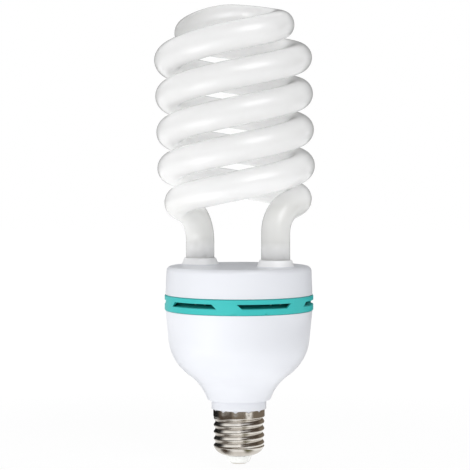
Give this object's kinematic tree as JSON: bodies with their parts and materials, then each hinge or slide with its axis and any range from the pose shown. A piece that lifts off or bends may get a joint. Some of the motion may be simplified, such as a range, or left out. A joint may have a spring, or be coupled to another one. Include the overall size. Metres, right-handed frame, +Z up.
{
  "type": "light bulb",
  "caption": "Spiral compact fluorescent lamp: a white double-spiral glass tube on a white ballast housing with a teal vent ring and a 27 mm screw cap",
  "frame": {"origin": "middle of the centre contact's face, at the foot of the screw cap", "axes": "+Z up the lamp's axis from the cap to the spiral, front towards -Y, +X to the right"},
  "size_m": [0.0828, 0.0813, 0.2371],
  "materials": {
    "coated_glass": "glossy clear glass with an opaque white coating inside",
    "cement": "dull white cement",
    "white_moulding": "cool white, half gloss moulding",
    "teal_moulding": "teal, half gloss moulding",
    "nickel_sheet": "rolled nickel-plated sheet",
    "white_insulator": "white moulded insulator",
    "contact_metal": "tinned brass",
    "lead_sleeve": "white sleeved wire",
    "board": "brown paper laminate",
    "tinned_pin": "tinned wire",
    "capacitor_sleeve": "black shrink sleeve",
    "ferrite": "dark pressed ferrite",
    "bobbin_plastic": "black moulded bobbin",
    "copper_wire": "enamelled copper wire",
    "black_epoxy": "moulded black epoxy",
    "film_coating": "dipped brown-red coating",
    "resistor_coating": "lacquered tan coating",
    "fuse_coating": "lacquered green coating",
    "thermistor_coating": "dull blue coating",
    "filter_sleeve": "black shrink sleeve"
  },
  "bodies": {
    "root": {"spiral_tube": "coated_glass", "tube_cement": "cement", "upper_cover": "white_moulding", "vent_ring": "teal_moulding", "lower_housing": "white_moulding", "screw_shell": "nickel_sheet", "cap_insulator": "white_insulator", "centre_contact": "contact_metal", "contact_lead": "lead_sleeve", "shell_lead": "lead_sleeve", "circuit_board": "board", "lead_posts": "tinned_pin", "electrode_leads": "tinned_pin", "bulk_capacitor": "capacitor_sleeve", "choke_core": "ferrite", "choke_bobbin": "bobbin_plastic", "choke_winding": "copper_wire", "drive_core": "ferrite", "drive_windings": "copper_wire", "power_transistors": "black_epoxy", "film_capacitors": "film_coating", "rectifier_diodes": "black_epoxy", "resistors": "resistor_coating", "fuse_resistor": "fuse_coating", "start_thermistor": "thermistor_coating", "filter_choke": "filter_sleeve"}
  },
  "joints": []
}
